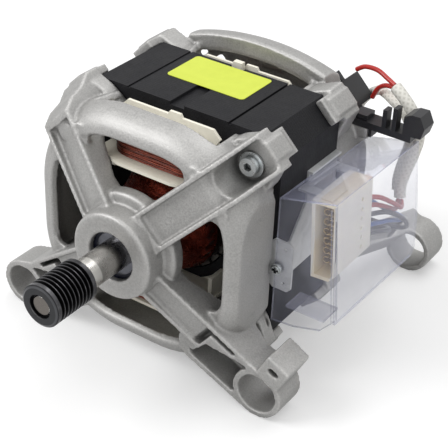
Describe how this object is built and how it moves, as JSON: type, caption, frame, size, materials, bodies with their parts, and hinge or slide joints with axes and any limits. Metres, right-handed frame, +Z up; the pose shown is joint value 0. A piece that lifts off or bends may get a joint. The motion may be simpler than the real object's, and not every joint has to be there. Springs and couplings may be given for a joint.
{
  "type": "washing machine motor",
  "caption": "Belt-drive commutator motor for a washing machine: cast end shields with bored lugs, wound stack, turning armature, ribbed pulley, sprung brushes, plug block under a clear cover.",
  "frame": {"origin": "on the shaft axis, at the middle of the belt grooves", "axes": "+Z up, -Y along the shaft towards the pulley end, +X towards the plug block"},
  "size_m": [0.1766, 0.232, 0.1342],
  "materials": {
    "cast_aluminium": "as cast",
    "black_stack": "satin black lacquer",
    "cream_plastic": "moulded",
    "enamelled_copper": "glossy enamel",
    "turned_steel": "turned",
    "lamination_steel": "stacked edges",
    "commutator_copper": "turned copper",
    "dark_steel": "oiled, turned",
    "ferrite": "sintered",
    "bearing_steel": "ground",
    "cage_plastic": "moulded",
    "seal_rubber": "moulded",
    "black_plastic": "moulded",
    "zinc_steel": "zinc plated",
    "carbon": "pressed carbon",
    "spring_steel": "drawn",
    "zinc_sheet": "zinc plated",
    "white_plastic": "moulded",
    "brass": "stamped",
    "clear_plastic": "clear, glossy",
    "label_film": "bare label, satin",
    "red_insulation": "extruded",
    "blue_insulation": "extruded",
    "dark_insulation": "extruded",
    "white_sleeve": "woven sleeve"
  },
  "bodies": {
    "motor_frame": {"front_end_shield": "cast_aluminium", "rear_end_shield": "cast_aluminium", "stator_stack": "black_stack", "upper_bobbin": "cream_plastic", "lower_bobbin": "cream_plastic", "upper_field_coil": "enamelled_copper", "lower_field_coil": "enamelled_copper", "front_bearing_outer_ring": "bearing_steel", "front_bearing_seals": "seal_rubber", "rear_bearing_outer_ring": "bearing_steel", "rear_bearing_seals": "seal_rubber", "tacho_coil": "enamelled_copper", "tacho_cap": "black_plastic", "clamping_bolts": "zinc_steel", "right_brush_holder": "black_plastic", "left_brush_holder": "black_plastic", "right_brush_spring": "spring_steel", "left_brush_spring": "spring_steel", "brush_holder_screws": "zinc_steel", "terminal_bracket": "zinc_sheet", "bracket_screw": "zinc_steel", "terminal_block": "white_plastic", "terminals": "brass", "clear_cover": "clear_plastic", "blank_label": "label_film", "lead_guide": "black_plastic", "red_leads": "red_insulation", "blue_lead": "blue_insulation", "dark_leads": "dark_insulation", "tacho_sleeve": "white_sleeve", "brush_sleeve": "white_sleeve"},
    "rotor": {"shaft": "turned_steel", "armature_core": "lamination_steel", "armature_winding": "enamelled_copper", "commutator": "commutator_copper", "belt_pulley": "dark_steel", "tacho_magnet": "ferrite", "front_bearing_inner_ring": "bearing_steel", "rear_bearing_inner_ring": "bearing_steel"},
    "front_ball_set": {"front_bearing_balls": "bearing_steel", "front_bearing_cage": "cage_plastic"},
    "rear_ball_set": {"rear_bearing_balls": "bearing_steel", "rear_bearing_cage": "cage_plastic"},
    "right_brush_body": {"right_brush": "carbon"},
    "left_brush_body": {"left_brush": "carbon"}
  },
  "joints": [
    {"name": "rotor_spin", "type": "hinge", "parent": "motor_frame", "child": "rotor", "pos_m": [0, 0, 0], "axis": [0, 1, 0], "continuous": true},
    {"name": "front_balls_spin", "type": "hinge", "parent": "motor_frame", "child": "front_ball_set", "pos_m": [0, 0, 0], "axis": [0, 1, 0], "continuous": true},
    {"name": "rear_balls_spin", "type": "hinge", "parent": "motor_frame", "child": "rear_ball_set", "pos_m": [0, 0, 0], "axis": [0, 1, 0], "continuous": true},
    {"name": "right_brush_slide", "type": "slide", "parent": "motor_frame", "child": "right_brush_body", "axis": [0.7071, 0, 0.7071], "range_m": [0, 0.006], "stiffness_N_per_m": 150, "springref_m": -0.02, "deforming": ["right_brush_spring"]},
    {"name": "left_brush_slide", "type": "slide", "parent": "motor_frame", "child": "left_brush_body", "axis": [-0.7071, 0, -0.7071], "range_m": [0, 0.006], "stiffness_N_per_m": 150, "springref_m": -0.02, "deforming": ["left_brush_spring"]}
  ],
  "couplings": [
    {"joint": "front_balls_spin", "follows": "rotor_spin", "ratio": 0.3808},
    {"joint": "rear_balls_spin", "follows": "rotor_spin", "ratio": 0.3645}
  ]
}
